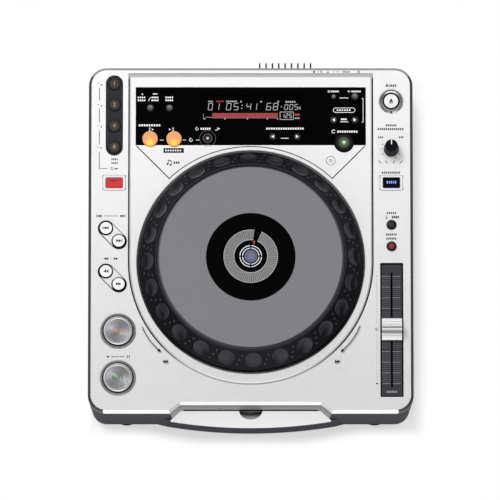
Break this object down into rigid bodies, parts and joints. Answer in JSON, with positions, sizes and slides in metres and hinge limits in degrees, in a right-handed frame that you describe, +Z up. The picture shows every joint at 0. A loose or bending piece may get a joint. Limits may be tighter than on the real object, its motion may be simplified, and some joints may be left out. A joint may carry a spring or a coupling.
{
  "type": "tabletop dj cd player",
  "caption": "Flat tabletop disc player for DJs: front disc slot, large dimpled jog wheel on a deck, display, lit push buttons, tempo fader and knob.",
  "frame": {"origin": "on the table, at the centre of the outline seen from above", "axes": "+Z up, -Y towards the user (the side with the disc slot), +X to the user's right"},
  "size_m": [0.305, 0.3444, 0.1078],
  "materials": {
    "silver_paint": "metallic paint, satin",
    "dark_case": "fine texture",
    "smoked_window": "clear, black printed behind",
    "rubber_black": "matt",
    "sheet_steel": "zinc plated",
    "dark_steel": "black paint",
    "circuit_board": "solder resist",
    "socket_black": "moulded",
    "rim_grey": "satin",
    "plate_grey": "spun, painted",
    "black_gloss": "gloss",
    "inner_plastic": "moulded",
    "white_key": "satin",
    "black_key": "satin",
    "red_key": "translucent",
    "orange_key": "translucent",
    "blue_key": "translucent",
    "spun_metal": "spun",
    "bright_ring": "polished",
    "plate_dark": "satin",
    "fader_silver": "metallic paint",
    "drive_steel": "plated"
  },
  "bodies": {
    "player": {"lower_case": "dark_case", "top_case": "silver_paint", "centre_deck": "silver_paint", "display_panel": "silver_paint", "display_window": "smoked_window", "disc_slot_bezel": "silver_paint", "rubber_feet": "rubber_black", "case_screws": "drive_steel", "base_plate": "sheet_steel", "main_board": "circuit_board", "power_supply": "circuit_board", "panel_boards": "circuit_board", "rear_panel": "dark_steel", "rear_jacks": "socket_black", "jog_hub": "inner_plastic", "fader_plate": "plate_dark", "fader_track": "sheet_steel", "loop_button_plate": "plate_dark", "button_rings": "bright_ring", "drive_chassis": "drive_steel"},
    "jog_wheel": {"jog_platter": "inner_plastic", "jog_ring": "rim_grey"},
    "jog_top": {"touch_plate": "plate_grey", "centre_window": "black_gloss"},
    "encoder": {"encoder_wheel": "inner_plastic"},
    "fader": {"fader_carriage": "inner_plastic", "fader_cap": "fader_silver"},
    "knob": {"tempo_knob": "black_key"},
    "spindle": {"disc_spindle": "inner_plastic"},
    "clamper": {"disc_clamper": "inner_plastic"},
    "roller": {"loading_roller": "rubber_black"},
    "sled": {"pickup_sled": "inner_plastic"},
    "loop_button_1": {"loop_button_1": "black_key"},
    "loop_button_2": {"loop_button_2": "black_key"},
    "loop_button_4": {"loop_button_4": "black_key"},
    "loop_button_8": {"loop_button_8": "black_key"},
    "track_back_button": {"track_back_button": "white_key"},
    "track_next_button": {"track_next_button": "white_key"},
    "search_back_button": {"search_back_button": "white_key"},
    "search_forward_button": {"search_forward_button": "white_key"},
    "eject_button": {"eject_button": "white_key"},
    "tempo_range_button": {"tempo_range_button": "black_key"},
    "master_tempo_button": {"master_tempo_button": "red_key"},
    "time_mode_button": {"time_mode_button": "black_key"},
    "text_mode_button": {"text_mode_button": "black_key"},
    "loop_in_button": {"loop_in_button": "orange_key"},
    "loop_out_button": {"loop_out_button": "orange_key"},
    "reloop_button": {"reloop_button": "black_key"},
    "folder_back_button": {"folder_back_button": "black_key"},
    "folder_next_button": {"folder_next_button": "black_key"},
    "delete_button": {"delete_button": "black_key"},
    "memory_button": {"memory_button": "black_key"},
    "call_back_button": {"call_back_button": "black_key"},
    "call_next_button": {"call_next_button": "black_key"},
    "quick_return_button": {"quick_return_button": "black_key"},
    "reverse_button": {"reverse_button": "red_key"},
    "jog_mode_button": {"jog_mode_button": "blue_key"},
    "cue_button": {"cue_button": "spun_metal"},
    "play_button": {"play_button": "spun_metal"},
    "power_button": {"power_button": "black_key"}
  },
  "joints": [
    {"name": "jog_spin", "type": "hinge", "parent": "player", "child": "jog_wheel", "pos_m": [0, -0.0227, 0.0848], "axis": [0, 0, 1], "continuous": true},
    {"name": "jog_top_press", "type": "slide", "parent": "jog_wheel", "child": "jog_top", "axis": [0, 0, -1], "range_m": [0, 0.0004], "stiffness_N_per_m": 4000, "springref_m": -0.0008},
    {"name": "encoder_spin", "type": "hinge", "parent": "player", "child": "encoder", "pos_m": [-0.04915, -0.05711, 0.0845], "axis": [0, 0, 1], "continuous": true},
    {"name": "tempo_slide", "type": "slide", "parent": "player", "child": "fader", "axis": [0, 1, 0], "range_m": [-0.05, 0.05]},
    {"name": "knob_turn", "type": "hinge", "parent": "player", "child": "knob", "pos_m": [0.1322, 0.0859, 0.0828], "axis": [0, 0, 1], "range_deg": [-150, 150]},
    {"name": "loop_button_1_press", "type": "slide", "parent": "player", "child": "loop_button_1", "axis": [0, 0, -1], "range_m": [0, 0.0008], "stiffness_N_per_m": 200, "springref_m": -0.001},
    {"name": "loop_button_2_press", "type": "slide", "parent": "player", "child": "loop_button_2", "axis": [0, 0, -1], "range_m": [0, 0.0008], "stiffness_N_per_m": 200, "springref_m": -0.001},
    {"name": "loop_button_4_press", "type": "slide", "parent": "player", "child": "loop_button_4", "axis": [0, 0, -1], "range_m": [0, 0.0008], "stiffness_N_per_m": 200, "springref_m": -0.001},
    {"name": "loop_button_8_press", "type": "slide", "parent": "player", "child": "loop_button_8", "axis": [0, 0, -1], "range_m": [0, 0.0008], "stiffness_N_per_m": 200, "springref_m": -0.001},
    {"name": "track_back_button_press", "type": "slide", "parent": "player", "child": "track_back_button", "axis": [0, 0, -1], "range_m": [0, 0.0008], "stiffness_N_per_m": 200, "springref_m": -0.001},
    {"name": "track_next_button_press", "type": "slide", "parent": "player", "child": "track_next_button", "axis": [0, 0, -1], "range_m": [0, 0.0008], "stiffness_N_per_m": 200, "springref_m": -0.001},
    {"name": "search_back_button_press", "type": "slide", "parent": "player", "child": "search_back_button", "axis": [0, 0, -1], "range_m": [0, 0.0008], "stiffness_N_per_m": 200, "springref_m": -0.001},
    {"name": "search_forward_button_press", "type": "slide", "parent": "player", "child": "search_forward_button", "axis": [0, 0, -1], "range_m": [0, 0.0008], "stiffness_N_per_m": 200, "springref_m": -0.001},
    {"name": "eject_button_press", "type": "slide", "parent": "player", "child": "eject_button", "axis": [0, 0, -1], "range_m": [0, 0.0008], "stiffness_N_per_m": 200, "springref_m": -0.001},
    {"name": "tempo_range_button_press", "type": "slide", "parent": "player", "child": "tempo_range_button", "axis": [0, 0, -1], "range_m": [0, 0.0008], "stiffness_N_per_m": 200, "springref_m": -0.001},
    {"name": "master_tempo_button_press", "type": "slide", "parent": "player", "child": "master_tempo_button", "axis": [0, 0, -1], "range_m": [0, 0.0008], "stiffness_N_per_m": 200, "springref_m": -0.001},
    {"name": "time_mode_button_press", "type": "slide", "parent": "player", "child": "time_mode_button", "axis": [0, 0, -1], "range_m": [0, 0.0008], "stiffness_N_per_m": 200, "springref_m": -0.001},
    {"name": "text_mode_button_press", "type": "slide", "parent": "player", "child": "text_mode_button", "axis": [0, 0, -1], "range_m": [0, 0.0008], "stiffness_N_per_m": 200, "springref_m": -0.001},
    {"name": "loop_in_button_press", "type": "slide", "parent": "player", "child": "loop_in_button", "axis": [0, 0, -1], "range_m": [0, 0.0008], "stiffness_N_per_m": 200, "springref_m": -0.001},
    {"name": "loop_out_button_press", "type": "slide", "parent": "player", "child": "loop_out_button", "axis": [0, 0, -1], "range_m": [0, 0.0008], "stiffness_N_per_m": 200, "springref_m": -0.001},
    {"name": "reloop_button_press", "type": "slide", "parent": "player", "child": "reloop_button", "axis": [0, 0, -1], "range_m": [0, 0.0008], "stiffness_N_per_m": 200, "springref_m": -0.001},
    {"name": "folder_back_button_press", "type": "slide", "parent": "player", "child": "folder_back_button", "axis": [0, 0, -1], "range_m": [0, 0.0008], "stiffness_N_per_m": 200, "springref_m": -0.001},
    {"name": "folder_next_button_press", "type": "slide", "parent": "player", "child": "folder_next_button", "axis": [0, 0, -1], "range_m": [0, 0.0008], "stiffness_N_per_m": 200, "springref_m": -0.001},
    {"name": "delete_button_press", "type": "slide", "parent": "player", "child": "delete_button", "axis": [0, 0, -1], "range_m": [0, 0.0008], "stiffness_N_per_m": 200, "springref_m": -0.001},
    {"name": "memory_button_press", "type": "slide", "parent": "player", "child": "memory_button", "axis": [0, 0, -1], "range_m": [0, 0.0008], "stiffness_N_per_m": 200, "springref_m": -0.001},
    {"name": "call_back_button_press", "type": "slide", "parent": "player", "child": "call_back_button", "axis": [0, 0, -1], "range_m": [0, 0.0008], "stiffness_N_per_m": 200, "springref_m": -0.001},
    {"name": "call_next_button_press", "type": "slide", "parent": "player", "child": "call_next_button", "axis": [0, 0, -1], "range_m": [0, 0.0008], "stiffness_N_per_m": 200, "springref_m": -0.001},
    {"name": "quick_return_button_press", "type": "slide", "parent": "player", "child": "quick_return_button", "axis": [0, 0, -1], "range_m": [0, 0.0008], "stiffness_N_per_m": 200, "springref_m": -0.001},
    {"name": "reverse_button_press", "type": "slide", "parent": "player", "child": "reverse_button", "axis": [0, 0, -1], "range_m": [0, 0.0008], "stiffness_N_per_m": 200, "springref_m": -0.001},
    {"name": "jog_mode_button_press", "type": "slide", "parent": "player", "child": "jog_mode_button", "axis": [0, 0, -1], "range_m": [0, 0.0008], "stiffness_N_per_m": 200, "springref_m": -0.001},
    {"name": "cue_button_press", "type": "slide", "parent": "player", "child": "cue_button", "axis": [0, 0, -1], "range_m": [0, 0.0015], "stiffness_N_per_m": 300, "springref_m": -0.0015},
    {"name": "play_button_press", "type": "slide", "parent": "player", "child": "play_button", "axis": [0, 0, -1], "range_m": [0, 0.0015], "stiffness_N_per_m": 300, "springref_m": -0.0015},
    {"name": "power_button_press", "type": "slide", "parent": "player", "child": "power_button", "axis": [0, -1, 0], "range_m": [0, 0.003], "stiffness_N_per_m": 300, "springref_m": -0.002},
    {"name": "spindle_spin", "type": "hinge", "parent": "player", "child": "spindle", "pos_m": [0, -0.0802, 0.052], "axis": [0, 0, 1], "continuous": true},
    {"name": "clamper_spin", "type": "hinge", "parent": "player", "child": "clamper", "pos_m": [0, -0.0802, 0.052], "axis": [0, 0, 1], "continuous": true},
    {"name": "roller_spin", "type": "hinge", "parent": "player", "child": "roller", "pos_m": [0, -0.1467, 0.0449], "axis": [1, 0, 0], "continuous": true},
    {"name": "sled_slide", "type": "slide", "parent": "player", "child": "sled", "axis": [0, 1, 0], "range_m": [0, 0.033]}
  ],
  "couplings": [
    {"joint": "encoder_spin", "follows": "jog_spin", "ratio": -4},
    {"joint": "clamper_spin", "follows": "spindle_spin", "ratio": 1}
  ]
}
